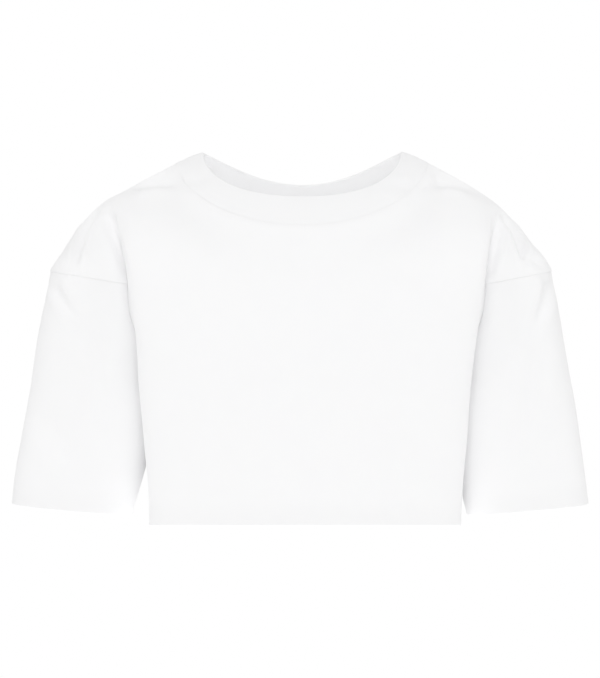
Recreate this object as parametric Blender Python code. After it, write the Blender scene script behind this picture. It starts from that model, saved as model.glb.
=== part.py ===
"""A boxy, cropped T-shirt with dropped shoulders, filled out as if worn.

Metres, +Z up, the front of the shirt towards -Y, and the wearer's shoulders along X. The origin is midway
between the two ends of the neck opening, where the shirt hangs from the shoulders. "left" and "right" are
the sides as seen from the front. Every size called a drop is measured down from the origin, every reach
sideways from the middle, and every front or back depth from the line of the shoulder seams.

The front and the back are each one panel: a field under the neck and the shoulder seam, and a lobe that
drops over the upper arm. Below the lobe the armhole seam dives into the crease between arm and body, and
runs in it down to the underarm, where the side seam and the sleeve's own seam begin.
"""

import math

import bpy
import numpy as np

SHIRT = "crop_top"
CLOTH = 0.0018          # heavy jersey, with what its slight fuzz adds
BAND_CLOTH = 0.0030     # the neckband is the same cloth, doubled
SEAM_GAP = 0.0003       # between the pieces, all along their seams

SIDES = {"left": -1.0, "right": 1.0}
FACES = {"front": -1.0, "back": 1.0}


def table(names, *rows):
    """A table of sizes, as one array for each named column."""
    return dict(zip(names.split(), np.array(rows, float).T))


# The shoulder seam, from the neckband out to the top of the sleeve. The right one is a little shorter.
SHOULDER = table(
    "reach   left   right",
    (0.1300, 0.0125, 0.0125),
    (0.1560, 0.0255, 0.0260),
    (0.1860, 0.0420, 0.0425),
    (0.2040, 0.0515, 0.0550),
    (0.2250, 0.0715, 0.0755),
    (0.2430, 0.0950, 0.0975),
    (0.2610, 0.1250, 0.1250))
SHOULDER_END = {"left": 0.261, "right": 0.258}
CREASE_START = 0.206    # reach where the crease between arm and body leaves the shoulder seam
SEAM_SLOPE = {"front": 0.16, "back": 0.16}      # how steeply the panels leave the shoulder seam

# The seam below the neckband and the neck's edge. The higher the arch, the more level each passes over
# the shoulder before it dips to the middle.
NECK = {
    "front": table(
        "half_width depth   side_drop middle_drop squareness arch",
        (0.1300,    0.0880, 0.0125,   0.0795,     2.0,       1.2),
        (0.1030,    0.0720, 0.0000,   0.0490,     2.3,       1.2)),
    "back": table(
        "half_width depth   side_drop middle_drop squareness arch",
        (0.1300,    0.0670, 0.0125,   0.0580,     2.0,       1.7),
        (0.1030,    0.0520, 0.0000,   0.0310,     2.0,       2.4))}
BAND_CROWN = 0.0012     # how far the middle of the band stands out
PANEL_STEEPNESS = {"front": 2.2, "back": 1.6}   # of the panels just under the band, at the middle
NECK_CORNER = math.radians(48)  # how far the panels turn outwards where the neck meets the shoulder
YOKE_SLACK = 1.12       # the length of the yoke's curves over their straight length

# The body, one row for each level. The rim is the corner where the front or back turns to the side.
BODY = table(
    "drop   left_rim right_rim front   back    front_rim back_rim squareness left_side right_side",
    (0.139, 0.1760,  0.1855,   0.1100, 0.0920, 0.0700,   0.0620,  3.0,       0.140,    0.146),
    (0.190, 0.1695,  0.1790,   0.1170, 0.0950, 0.0670,   0.0600,  3.0,       0.140,    0.146),
    (0.240, 0.1665,  0.1720,   0.1200, 0.0940, 0.0640,   0.0580,  3.0,       0.140,    0.146),
    (0.290, 0.1620,  0.1680,   0.1200, 0.0920, 0.0620,   0.0560,  3.0,       0.147,    0.151),
    (0.337, 0.1580,  0.1645,   0.1190, 0.0900, 0.0600,   0.0540,  3.0,       0.153,    0.157),
    (0.382, 0.1560,  0.1620,   0.1180, 0.0890, 0.0580,   0.0520,  3.0,       0.1555,   0.1615))
HEM_HANG = 0.0060       # how much lower the hem hangs at the side seams than at its middle
UNDERARM = 2            # the row where the armhole ends and the side seam begins
SIDE_TUCK = 0.55        # below 1, the side draws in close behind the rim

# The sleeves, on the same rows as the body. The crest is where they stand furthest forward and back.
SLEEVE = table(
    "drop    inner_drop left_outer right_outer left_inner right_inner left_crest right_crest",
    (0.1250, 0.1390,    0.2610,    0.2580,     0.140,     0.146,      0.216,     0.2220),
    (0.1780, 0.1900,    0.2715,    0.2675,     0.140,     0.146,      0.218,     0.2220),
    (0.2320, 0.2400,    0.2800,    0.2770,     0.140,     0.146,      0.219,     0.2190),
    (0.2770, 0.2870,    0.2880,    0.2850,     0.153,     0.156,      0.223,     0.2220),
    (0.3210, 0.3330,    0.2955,    0.2915,     0.1645,    0.162,      0.231,     0.2275),
    (0.3650, 0.3770,    0.3006,    0.2974,     0.176,     0.1720,     0.239,     0.2355))
SLEEVE_ROUND = table(
    "front   back    inner_squareness outer_squareness",
    (0.0700, 0.0640, 2.3,             2.5),
    (0.0680, 0.0660, 2.1,             2.6),
    (0.0630, 0.0660, 2.0,             2.6),
    (0.0590, 0.0650, 2.8,             2.6),
    (0.0570, 0.0630, 3.2,             2.6),
    (0.0560, 0.0620, 3.2,             2.6))

# Where the armhole seam enters the crease: how far out it is, and how far from the shoulder line.
CREASE = {
    ("left", "front"): (0.1765, 0.054),
    ("left", "back"): (0.1780, 0.047),
    ("right", "front"): (0.1860, 0.054),
    ("right", "back"): (0.1865, 0.047)}

# Columns and rows of the meshes
NECK_COLUMNS = 8        # of half a panel, along the neck seam
RIM_COLUMNS = 4         # from there to the rim
WALL_COLUMNS = 4        # from the rim to the armhole or the side seam
INNER_COLUMNS = 5       # of half a sleeve, from the crease or the sleeve's own seam to the crest
OUTER_COLUMNS = 7       # from the crest to the sleeve's outer edge
NECK_SHARE = 0.66       # share of the body's front or back that hangs from the neck seam
RIM_START = 0.88        # share of the shoulder seam, up to the crease, that hangs inside the rim
YOKE_ROWS = 7           # from the neck and shoulder seams down to the first row of the tables
SAMPLES = 60            # points that a curve is worked out at before its columns are spaced on it
ROWS = (0, 1 / 3, 2 / 3, 1, 4 / 3, 1.6, 1.8, 1.93, 2, 7 / 3, 8 / 3, 3, 3.5, 4, 4.5, 5)

# The largest folds, in the front and back alike: where each starts and ends, how wide and how deep.
# A negative side is the left. A fold that stands out has a negative depth.
FOLDS = table(
    "side face start_reach start_drop end_reach end_drop width  depth",
    (-1,  -1,  0.220,      0.066,     0.2295,   0.130,   0.010, 0.0045),
    (1,   -1,  0.210,      0.068,     0.2235,   0.124,   0.010, 0.0045),
    (-1,  -1,  0.206,      0.060,     0.182,    0.120,   0.010, 0.0030),
    (1,   -1,  0.207,      0.068,     0.190,    0.125,   0.010, 0.0030),
    (-1,  -1,  0.256,      0.137,     0.229,    0.172,   0.010, 0.0030),
    (-1,  -1,  0.233,      0.162,     0.198,    0.236,   0.016, 0.0018),
    (1,   -1,  0.252,      0.134,     0.233,    0.190,   0.010, 0.0032),
    (1,   -1,  0.2335,     0.180,     0.236,    0.335,   0.018, 0.0020),
    (-1,  -1,  0.124,      0.040,     0.162,    0.034,   0.011, 0.0032),
    (1,   -1,  0.126,      0.040,     0.190,    0.050,   0.011, 0.0030),
    (-1,  1,   0.218,      0.066,     0.231,    0.130,   0.011, 0.0040),
    (1,   1,   0.212,      0.066,     0.227,    0.126,   0.011, 0.0042),
    (-1,  1,   0.255,      0.138,     0.226,    0.184,   0.011, 0.0030),
    (1,   1,   0.250,      0.136,     0.224,    0.194,   0.011, 0.0030),
    (1,   -1,  0.079,      0.300,     0.084,    0.392,   0.020, 0.0018),
    (-1,  1,   0.068,      0.240,     0.080,    0.392,   0.024, 0.0024),
    (1,   1,   0.088,      0.230,     0.098,    0.392,   0.024, 0.0022))

COLOURS = {
    "front": (0.945, 0.945, 0.955),
    "back": (0.945, 0.945, 0.955),
    "sleeve_left": (0.945, 0.945, 0.955),
    "sleeve_right": (0.945, 0.945, 0.955),
    "neckband": (0.950, 0.950, 0.958)}
ROUGHNESS = 0.9


# Curves and tables

def smooth(knots, values, place):
    """The value, at one place or more, of a smooth curve through a table's values."""
    knots = np.asarray(knots, float)
    values = np.asarray(values, float)
    place = np.asarray(place, float)
    slopes = np.gradient(values, knots)
    span = np.clip(np.searchsorted(knots, place, side="right") - 1, 0, len(knots) - 2)
    step = knots[span + 1] - knots[span]
    t = (place - knots[span]) / step
    rise = t * t * (3 - 2 * t)
    start_pull = t * (1 - t) ** 2 * step * slopes[span]
    end_pull = t * t * (t - 1) * step * slopes[span + 1]
    return values[span] * (1 - rise) + values[span + 1] * rise + start_pull + end_pull


def read(sizes, name, row):
    """A column of a table, at a row that need not be whole."""
    return float(smooth(np.arange(len(sizes[name])), sizes[name], row))


def steps(start, end, count):
    """Evenly spaced values that leave out the first."""
    return np.linspace(start, end, count + 1)[1:]


def body_shares():
    """Where the columns of half a panel cross a section: 0 to 1 is its front, 1 to 2 its wall."""
    return np.concatenate([[0.0], steps(0, NECK_SHARE, NECK_COLUMNS), steps(NECK_SHARE, 1, RIM_COLUMNS),
                           steps(1, 2, WALL_COLUMNS)])


def sleeve_shares():
    """Where the columns of half a sleeve cross a section: 0 to 1 is inside its crest, 1 to 2 outside."""
    return np.concatenate([[0.0], steps(0, 1, INNER_COLUMNS), steps(1, 2, OUTER_COLUMNS)])


def along(points, shares):
    """The points that stand at these shares of a line's length."""
    steps = np.linalg.norm(np.diff(points, axis=0), axis=1)
    gone = np.concatenate(([0.0], np.cumsum(steps))) / steps.sum()
    return np.stack([np.interp(shares, gone, points[:, axis]) for axis in range(3)], axis=1)


def bow(start, start_pull, end, end_pull, t):
    """A curve between two points that leaves and arrives along its two pulls."""
    return (start * (1 + 2 * t) * (1 - t) ** 2 + start_pull * t * (1 - t) ** 2
            + end * t * t * (3 - 2 * t) + end_pull * t * t * (t - 1))


def along_both(first, second, shares):
    """The same on two lines that follow each other: shares from 1 to 2 are on the second."""
    return np.concatenate([along(first, shares[shares <= 1]), along(second, shares[shares > 1] - 1)])


def unit(vectors):
    return vectors / np.maximum(np.linalg.norm(vectors, axis=-1, keepdims=True), 1e-12)


# The lines that the pieces share

def neck_ring(level, side, face, angles):
    """A quarter of the neck seam (level 0) or the neck's edge (level 1): angle 0 is the middle."""
    sizes = {name: column[level] for name, column in NECK[face].items()}
    side_drop = sizes["side_drop"]
    power = 2 / sizes["squareness"]
    forward = np.abs(np.cos(angles)) ** power
    forward[np.abs(np.cos(angles)) < 1e-9] = 0.0
    x = SIDES[side] * sizes["half_width"] * np.sin(angles) ** power
    y = FACES[face] * sizes["depth"] * forward
    z = -side_drop - (sizes["middle_drop"] - side_drop) * forward ** sizes["arch"]
    return np.stack([x, y, z], axis=1)


def shoulder_line(side, start_reach, end_reach, shares):
    """The shoulder seam between two reaches, which are those of the left side."""
    neck_end = SHOULDER["reach"][0]
    stretch = (SHOULDER_END[side] - neck_end) / (SHOULDER_END["left"] - neck_end)
    reach = np.linspace(start_reach, end_reach, SAMPLES)
    drop = smooth(SHOULDER["reach"], SHOULDER[side], reach)
    x = SIDES[side] * (neck_end + (reach - neck_end) * stretch)
    return along(np.stack([x, np.zeros_like(x), -drop], axis=1), shares)


def crease_point(side, face, row):
    """The armhole seam in the crease, from the shoulder's lobe down to the underarm."""
    start_reach, start_depth = CREASE[side, face]
    end_reach = read(BODY, side + "_side", UNDERARM)
    left = max(0.0, 1 - (row / UNDERARM) ** 3) ** 0.6
    reach = end_reach + (start_reach - end_reach) * left ** 3.5
    return reach, start_depth * left, read(BODY, "drop", row)


def body_section(side, face, row, shares):
    """Half of the body's section: from the middle, round the rim, to the armhole or the side seam."""
    rim = read(BODY, side + "_rim", row)
    depth = read(BODY, face, row)
    rim_depth = read(BODY, face + "_rim", row)
    power = 2 / read(BODY, "squareness", row)
    if row < UNDERARM:
        edge_reach, edge_depth, drop = crease_point(side, face, row)
    else:
        edge_reach, edge_depth, drop = read(BODY, side + "_side", row), 0.0, read(BODY, "drop", row)
    turn = np.linspace(0, math.pi / 2, SAMPLES)
    front_x = rim * np.sin(turn) ** power
    front_y = rim_depth + (depth - rim_depth) * np.maximum(np.cos(turn), 0) ** power
    t = np.linspace(0, 1, SAMPLES)
    wall_x = rim + (edge_reach - rim) * (1 - np.cos(math.pi * t ** SIDE_TUCK)) / 2
    wall_y = rim_depth + (edge_depth - rim_depth) * t
    hang = HEM_HANG * max(0.0, row - 4) ** 2
    lines = []
    for x, y in ((front_x, front_y), (wall_x, wall_y)):
        z = -drop - hang * (1 - y / depth)
        lines.append(np.stack([SIDES[side] * x, FACES[face] * y, z], axis=1))
    return along_both(*lines, shares)


def sleeve_section(side, face, row, shares):
    """Half of a sleeve's section: from the crease, or the sleeve's own seam, round to its outer edge."""
    if row < UNDERARM:
        inner, inner_depth, inner_drop = crease_point(side, face, row)
    else:
        inner = read(SLEEVE, side + "_inner", row)
        inner_depth = 0.0
        inner_drop = read(SLEEVE, "inner_drop", row)
    outer = read(SLEEVE, side + "_outer", row)
    outer_drop = read(SLEEVE, "drop", row)
    crest = read(SLEEVE, side + "_crest", row)
    depth = read(SLEEVE_ROUND, face, row)
    squareness = read(SLEEVE_ROUND, "inner_squareness", row)
    first_turn = math.asin((inner_depth / depth) ** (squareness / 2))
    turn = np.linspace(first_turn, math.pi / 2, SAMPLES)
    in_reach = crest - (crest - inner) * (np.cos(turn) / math.cos(first_turn)) ** (2 / squareness)
    in_depth = depth * np.sin(turn) ** (2 / squareness)
    power = 2 / read(SLEEVE_ROUND, "outer_squareness", row)
    turn = np.linspace(math.pi / 2, 0, SAMPLES)
    out_reach = crest + (outer - crest) * np.cos(turn) ** power
    out_depth = depth * np.maximum(np.sin(turn), 0) ** power
    lines = []
    for reach, y in ((in_reach, in_depth), (out_reach, out_depth)):
        drop = outer_drop + (inner_drop - outer_drop) * (outer - reach) / (outer - inner)
        lines.append(np.stack([SIDES[side] * reach, FACES[face] * y, -drop], axis=1))
    return along_both(*lines, shares)


# Panels

def leaving(side, face, top, heading, steepness):
    """How a panel leaves its top edge: turned sideways by heading, and down by its steepness."""
    forward = unit(np.stack([np.zeros(len(top)), np.full(len(top), FACES[face]), -steepness], axis=1))
    slope = (SHOULDER[side][1] - SHOULDER[side][0]) / (SHOULDER["reach"][1] - SHOULDER["reach"][0])
    sideways = unit(np.array([[SIDES[side], 0.0, -slope]]))
    return unit(forward * np.cos(heading)[:, None] + sideways * np.sin(heading)[:, None])


def yoke_field(side, face, shares):
    """Columns of half the yoke: from the neck and shoulder seams to the body's first row."""
    angles = np.linspace(0, math.pi / 2, NECK_COLUMNS + 1)
    neck = along(neck_ring(0, side, face, np.linspace(0, math.pi / 2, SAMPLES)), angles / angles[-1])
    beyond = np.concatenate([steps(0, RIM_START, RIM_COLUMNS), steps(RIM_START, 1, WALL_COLUMNS)])
    top = np.concatenate([neck, shoulder_line(side, SHOULDER["reach"][0], CREASE_START, beyond)])
    fading = (0.5 + 0.5 * np.cos(math.pi * beyond)) ** 2
    heading = NECK_CORNER * np.concatenate([np.sin(angles) ** 1.2, fading])
    steepness = np.full(len(top), SEAM_SLOPE[face])
    steepness[:len(angles)] += PANEL_STEEPNESS[face] * np.cos(angles) ** 1.5
    bottom = body_section(side, face, 0, shares)
    down = unit(body_section(side, face, 0.2, shares) - bottom)
    return top, leaving(side, face, top, heading, steepness), bottom, down


def yoke_lobe(side, face, shares):
    """Columns of the lobe over the arm: from the shoulder seam to the top of the sleeve."""
    top = shoulder_line(side, CREASE_START, SHOULDER["reach"][-1], np.linspace(0, 1, len(shares)))
    steepness = np.full(len(top), SEAM_SLOPE[face])
    bottom = sleeve_section(side, face, 0, shares)
    down = unit(sleeve_section(side, face, 0.2, shares) - bottom)
    return top, leaving(side, face, top, np.zeros(len(top)), steepness), bottom, down


def yoke_rows(top, start, bottom, down):
    """The yoke's rows, each a line of points across its columns."""
    length = np.linalg.norm(bottom - top, axis=1, keepdims=True) * YOKE_SLACK
    return [bow(top, start * length, bottom, down * length, t) for t in np.linspace(0, 1, YOKE_ROWS + 1)]


class Sheet:
    """An open sheet of cloth, gathered as points and faces before it gets its thickness."""

    def __init__(self, name):
        self.name = name
        self.points = []
        self.faces = []
        self.index = {}

    def point(self, place):
        key = tuple(round(float(value), 6) for value in place)
        if key not in self.index:
            self.index[key] = len(self.points)
            self.points.append(np.array(place, float))
        return self.index[key]

    def grid(self, rows, flip):
        """Faces between rows of points. A corner where two points are one becomes a triangle."""
        ids = [[self.point(place) for place in row] for row in rows]
        for upper, lower in zip(ids, ids[1:]):
            for column in range(len(upper) - 1):
                ring = [upper[column], upper[column + 1], lower[column + 1], lower[column]]
                ring = [value for place, value in enumerate(ring) if value != ring[place - 1]]
                if len(ring) > 2:
                    self.faces.append(ring[::-1] if flip else ring)

    def normals(self):
        """The outward direction at each point."""
        points = np.array(self.points)
        total = np.zeros_like(points)
        for face in self.faces:
            corners = points[face]
            area = np.cross(corners[1] - corners[0], corners[2] - corners[0])
            if len(face) == 4:
                area = area + np.cross(corners[2] - corners[0], corners[3] - corners[0])
            total[face] += area
        return unit(total)

    def edges(self):
        """The sheet's open edges, each as a pair of points with the cloth on the same hand."""
        pairs = {(a, b) for face in self.faces for a, b in zip(face, face[1:] + face[:1])}
        return [(a, b) for a, b in pairs if (b, a) not in pairs]


def panel(face):
    """The front or the back, from the neck and shoulder seams to the hem."""
    sheet = Sheet(face)
    shares = body_shares()
    for side in SIDES:
        flip = SIDES[side] * FACES[face] < 0
        sheet.grid(yoke_rows(*yoke_field(side, face, shares)), flip)
        sheet.grid(yoke_rows(*yoke_lobe(side, face, sleeve_shares())), flip)
        sheet.grid([body_section(side, face, row, shares) for row in ROWS], flip)
    return sheet


def sleeve(side):
    """A sleeve, from the armhole to the cuff: open rows above the underarm, and closed ones below."""
    sheet = Sheet("sleeve_" + side)
    for face in FACES:
        rows = [sleeve_section(side, face, row, sleeve_shares()) for row in ROWS]
        sheet.grid(rows, SIDES[side] * FACES[face] < 0)
    return sheet


# From sheets to solids

def fold_shift(points):
    """How far the folds press the cloth in at each point."""
    shift = np.zeros(len(points))
    for fold in range(len(FOLDS["width"])):
        side, face, width, depth = (FOLDS[name][fold] for name in ("side", "face", "width", "depth"))
        start = np.array([side * FOLDS["start_reach"][fold], -FOLDS["start_drop"][fold]])
        end = np.array([side * FOLDS["end_reach"][fold], -FOLDS["end_drop"][fold]])
        flat = points[:, [0, 2]]
        share = np.clip((flat - start) @ (end - start) / ((end - start) @ (end - start)), 0, 1)
        away = np.linalg.norm(flat - start - share[:, None] * (end - start), axis=1)
        facing = np.clip(points[:, 1] * face / 0.03, 0, 1)
        shift += depth * np.exp(-(away / width) ** 2) * facing
    return shift


def share_normals(sheets):
    """Normals at each sheet's points, made one where sheets meet on a smooth surface."""
    found = {sheet.name: sheet.normals() for sheet in sheets}
    meeting = {}
    for sheet in sheets:
        for key, number in sheet.index.items():
            meeting.setdefault(key, []).append((sheet.name, number))
    for places in meeting.values():
        group = np.array([found[name][number] for name, number in places])
        mean = unit(group.sum(axis=0))
        if len(places) > 1 and (group @ mean).min() > 0.6:
            for name, number in places:
                found[name][number] = mean
    return found


def draw_back(points, normals, edges, gap):
    """Moves the open edges into their own cloth by gap, so that pieces stand apart at their seams."""
    inward = {}
    for a, b in edges:
        along_edge = unit(points[b] - points[a])
        for corner in (a, b):
            inward.setdefault(corner, []).append(unit(np.cross(normals[corner], along_edge)))
    moved = points.copy()
    for corner, pair in inward.items():
        first, second = pair
        moved[corner] += gap * (first + second) / max(0.25, 1 + first @ second)
    return moved


def solid(sheet, normals, thickness):
    """The sheet as a closed wall, its outside on the sheet's points."""
    points = np.array(sheet.points)
    points = points - normals * fold_shift(points)[:, None]
    edges = sheet.edges()
    outside = draw_back(points, normals, edges, SEAM_GAP / 2)
    inside = outside - normals * thickness
    count = len(points)
    faces = list(sheet.faces)
    faces += [[corner + count for corner in face[::-1]] for face in sheet.faces]
    faces += [[b, a, a + count, b + count] for a, b in edges]
    return add_piece(sheet.name, np.concatenate([outside, inside]), faces)


def neckband():
    """The doubled band: its outside runs from the seam up to the fold at the neck's edge."""
    angles = np.linspace(0, math.pi / 2, SAMPLES)
    shares = np.linspace(0, 1, NECK_COLUMNS + 1)
    rings = []
    for level in (0, 1):
        quarters = {}
        for face in FACES:
            for side in SIDES:
                quarters[face, side] = along(neck_ring(level, side, face, angles), shares)
        rings.append(np.concatenate([
            quarters["front", "right"][:-1], quarters["back", "right"][:0:-1],
            quarters["back", "left"][:-1], quarters["front", "left"][:0:-1]]))
    seam, edge = rings
    tangent = unit(np.roll(seam, -1, axis=0) - np.roll(seam, 1, axis=0))
    rise = edge - seam
    width = np.linalg.norm(rise, axis=1, keepdims=True)
    rise = rise / width
    outward = unit(np.cross(tangent, rise))
    fold = BAND_CLOTH / 2
    profile = table(
        "rise  out",
        (0.0,  0.0),
        (0.33, BAND_CROWN),
        (0.67, BAND_CROWN),
        (1.0,  0.0),
        (1.0,  -BAND_CLOTH),
        (0.67, BAND_CROWN - BAND_CLOTH),
        (0.33, BAND_CROWN - BAND_CLOTH),
        (0.0,  -BAND_CLOTH))
    lines = []
    for share, out in zip(profile["rise"], profile["out"]):
        start = SEAM_GAP / 2
        height = start + share * (width - start - fold)
        lines.append(seam + rise * height + outward * out)
    lines.insert(4, seam + rise * width - outward * fold)
    count = len(seam)
    faces = []
    for line in range(len(lines)):
        for step in range(count):
            here, there = line * count, (line + 1) % len(lines) * count
            after = (step + 1) % count
            faces.append([here + step, here + after, there + after, there + step])
    return add_piece("neckband", np.concatenate(lines), faces)


def add_piece(name, points, faces):
    """A named object with its own material, smooth but for the cloth's cut edges."""
    mesh = bpy.data.meshes.new(name)
    mesh.from_pydata([tuple(point) for point in points], [], faces)
    mesh.validate()
    mesh.shade_smooth()
    mesh.set_sharp_from_angle(angle=math.radians(50))
    material = bpy.data.materials.new(name + "_jersey")
    material.use_nodes = True
    shader = material.node_tree.nodes["Principled BSDF"]
    shader.inputs["Base Color"].default_value = (*COLOURS[name], 1.0)
    shader.inputs["Roughness"].default_value = ROUGHNESS
    shader.inputs["Metallic"].default_value = 0.0
    mesh.materials.append(material)
    piece = bpy.data.objects.new(name, mesh)
    bpy.data.collections[SHIRT].objects.link(piece)
    return piece


def main():
    for piece in list(bpy.data.objects):
        bpy.data.objects.remove(piece, do_unlink=True)
    shirt = bpy.data.collections.get(SHIRT) or bpy.data.collections.new(SHIRT)
    if shirt.name not in bpy.context.scene.collection.children:
        bpy.context.scene.collection.children.link(shirt)
    sheets = [panel(face) for face in FACES] + [sleeve(side) for side in SIDES]
    normals = share_normals(sheets)
    for sheet in sheets:
        solid(sheet, normals[sheet.name], CLOTH)
    neckband()


main()
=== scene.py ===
# %% [markdown]
# # A boxy cropped T-shirt, filled out as if worn
#
# The real shirt is five pieces of heavy white jersey: a front, a back, two sleeves and a doubled neckband.
# It hangs from the shoulders as if someone stood in it, so it is a set of hollow, open sheets.
#
# Such a shirt could be made by draping flat patterns over a dummy with a cloth simulation. Here each sheet
# is worked out from short tables of sizes instead, because the cut is simple and the way it hangs is known:
# the tables say where each level of the body and of the sleeves is widest, and curves join the levels.
# The folds come after that, each from its own row, and the sewing last.

import math

import bpy
import numpy as np
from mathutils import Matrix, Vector
from mathutils.bvhtree import BVHTree
from mathutils.kdtree import KDTree


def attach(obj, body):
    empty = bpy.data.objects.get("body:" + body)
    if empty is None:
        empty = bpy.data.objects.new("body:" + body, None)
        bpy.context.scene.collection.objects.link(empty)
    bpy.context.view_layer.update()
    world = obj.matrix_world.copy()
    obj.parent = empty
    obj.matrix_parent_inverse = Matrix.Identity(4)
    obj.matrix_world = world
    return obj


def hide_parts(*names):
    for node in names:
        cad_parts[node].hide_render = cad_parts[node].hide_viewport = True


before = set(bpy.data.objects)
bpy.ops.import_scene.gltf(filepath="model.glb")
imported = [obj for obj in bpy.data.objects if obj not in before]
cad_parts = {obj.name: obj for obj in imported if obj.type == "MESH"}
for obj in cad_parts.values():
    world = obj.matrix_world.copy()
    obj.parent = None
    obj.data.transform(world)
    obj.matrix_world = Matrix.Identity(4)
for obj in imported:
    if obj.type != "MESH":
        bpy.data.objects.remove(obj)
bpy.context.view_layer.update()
print("frame:", len(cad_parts), "nodes")

# %% [markdown]
# ## Sizes
#
# A pattern cutter measures a shirt down from the shoulder point and out from its middle. The tables do the
# same: a drop is measured down from the ends of the neck opening, a reach sideways from the middle, and a
# depth forwards or back from the shoulder seams. All are in metres, with the front towards -Y. "left" and
# "right" are as seen from the front, and they differ a little, because no shirt hangs quite evenly.

# %% Cloth, sides and tables
CLOTH = 0.0013          # one layer of the jersey
BAND_CLOTH = 0.0030     # the neckband is doubled over, with the seam inside
SEAM_ROLL = 0.0005      # how far the edges of a seam roll in; at the neck they stay square
TURNING = 0.020         # cloth turned up inside the hem and the cuffs

SIDES = {"left": -1.0, "right": 1.0}
FACES = {"front": -1.0, "back": 1.0}


def table(names, *rows):
    """A table of sizes, as one array for each named column."""
    return dict(zip(names.split(), np.array(rows, float).T))


# %% The shoulder seam and the neck
SHOULDER = table(
    "reach   left    right",
    (0.1300, 0.0125, 0.0125),
    (0.1560, 0.0255, 0.0260),
    (0.1860, 0.0420, 0.0425),
    (0.2040, 0.0515, 0.0550),
    (0.2250, 0.0715, 0.0755),
    (0.2430, 0.0950, 0.0975),
    (0.2610, 0.1250, 0.1250))
SHOULDER_END = {"left": 0.261, "right": 0.258}
CREASE_START = 0.206    # reach where the crease between arm and body leaves the shoulder seam
SEAM_SLOPE = 0.16       # how steeply the panels leave the shoulder seam

# Row 0 is the seam below the neckband, row 1 the neck's edge. A high arch keeps the line level over the
# shoulder for longer before it dips to the middle.
NECK = {
    "front": table(
        "half_width depth   side_drop middle_drop squareness arch",
        (0.1300,    0.0880, 0.0125,   0.0795,     2.0,       1.2),
        (0.1030,    0.0720, 0.0000,   0.0490,     2.3,       1.2)),
    "back": table(
        "half_width depth   side_drop middle_drop squareness arch",
        (0.1300,    0.0670, 0.0125,   0.0580,     2.0,       1.7),
        (0.1030,    0.0520, 0.0000,   0.0310,     2.0,       2.4))}
BAND_CROWN = 0.0012     # how far the middle of the band stands out
PANEL_STEEPNESS = {"front": 2.2, "back": 1.6}   # of the panels just under the band, at the middle
NECK_CORNER = math.radians(48)  # how far the panels turn outwards where the neck meets the shoulder
YOKE_SLACK = 1.12       # the length of the yoke's curves over their straight length

# %% The body and the sleeves, level by level
# The rim is the corner where the front or the back turns to the side.
BODY = table(
    "drop   left_rim right_rim front   back    front_rim back_rim squareness left_side right_side",
    (0.139, 0.1760,  0.1855,   0.1100, 0.0920, 0.0700,   0.0620,  3.0,       0.1400,   0.1460),
    (0.190, 0.1695,  0.1790,   0.1170, 0.0950, 0.0670,   0.0600,  3.0,       0.1400,   0.1460),
    (0.240, 0.1665,  0.1720,   0.1200, 0.0940, 0.0640,   0.0580,  3.0,       0.1400,   0.1460),
    (0.290, 0.1620,  0.1680,   0.1200, 0.0920, 0.0620,   0.0560,  3.0,       0.1470,   0.1510),
    (0.337, 0.1580,  0.1645,   0.1190, 0.0900, 0.0600,   0.0540,  3.0,       0.1530,   0.1570),
    (0.382, 0.1560,  0.1620,   0.1180, 0.0890, 0.0580,   0.0520,  3.0,       0.1555,   0.1615))
HEM_HANG = 0.0060       # how much lower the hem hangs at the side seams than at its middle
HANG_ROW = 4            # the row below which it starts to
UNDERARM = 2            # the row where the armhole ends and the side seam begins
SIDE_TUCK = 0.55        # below 1, the side draws in close behind the rim

# The sleeves, on the same rows. The crest is where they stand furthest forward and back.
SLEEVE = table(
    "drop    inner_drop left_outer right_outer left_inner right_inner left_crest right_crest",
    (0.1250, 0.1390,    0.2610,    0.2580,     0.1400,    0.1460,     0.2160,    0.2220),
    (0.1780, 0.1900,    0.2715,    0.2675,     0.1400,    0.1460,     0.2180,    0.2220),
    (0.2320, 0.2400,    0.2800,    0.2770,     0.1400,    0.1460,     0.2190,    0.2190),
    (0.2770, 0.2870,    0.2880,    0.2850,     0.1530,    0.1560,     0.2230,    0.2220),
    (0.3210, 0.3330,    0.2955,    0.2915,     0.1645,    0.1620,     0.2310,    0.2275),
    (0.3650, 0.3770,    0.3006,    0.2974,     0.1760,    0.1720,     0.2390,    0.2355))
SLEEVE_ROUND = table(
    "front   back    inner_squareness outer_squareness",
    (0.0700, 0.0640, 2.3,             2.5),
    (0.0680, 0.0660, 2.1,             2.6),
    (0.0630, 0.0660, 2.0,             2.6),
    (0.0590, 0.0650, 2.8,             2.6),
    (0.0570, 0.0630, 3.2,             2.6),
    (0.0560, 0.0620, 3.2,             2.6))

# Where the armhole seam enters the crease: how far out it is, and how far from the shoulder line.
CREASE = {
    ("left", "front"): (0.1765, 0.054),
    ("left", "back"): (0.1780, 0.047),
    ("right", "front"): (0.1860, 0.054),
    ("right", "back"): (0.1865, 0.047)}
CREASE_HOLD = 3         # the higher, the longer the crease keeps its depth on its way down
CREASE_CLOSE = 0.6      # below 1, it closes roundly at the underarm
CREASE_TURN = 3.5       # the higher, the sooner it comes in to the side

# %% [markdown]
# ## Smooth curves through the tables
#
# Cloth has no corners between two measured levels. A Hermite curve passes through every value of a column
# and keeps a steady slope at each, so a row number such as 1.37 is as good as a whole one.

# %% Helpers for curves

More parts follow.
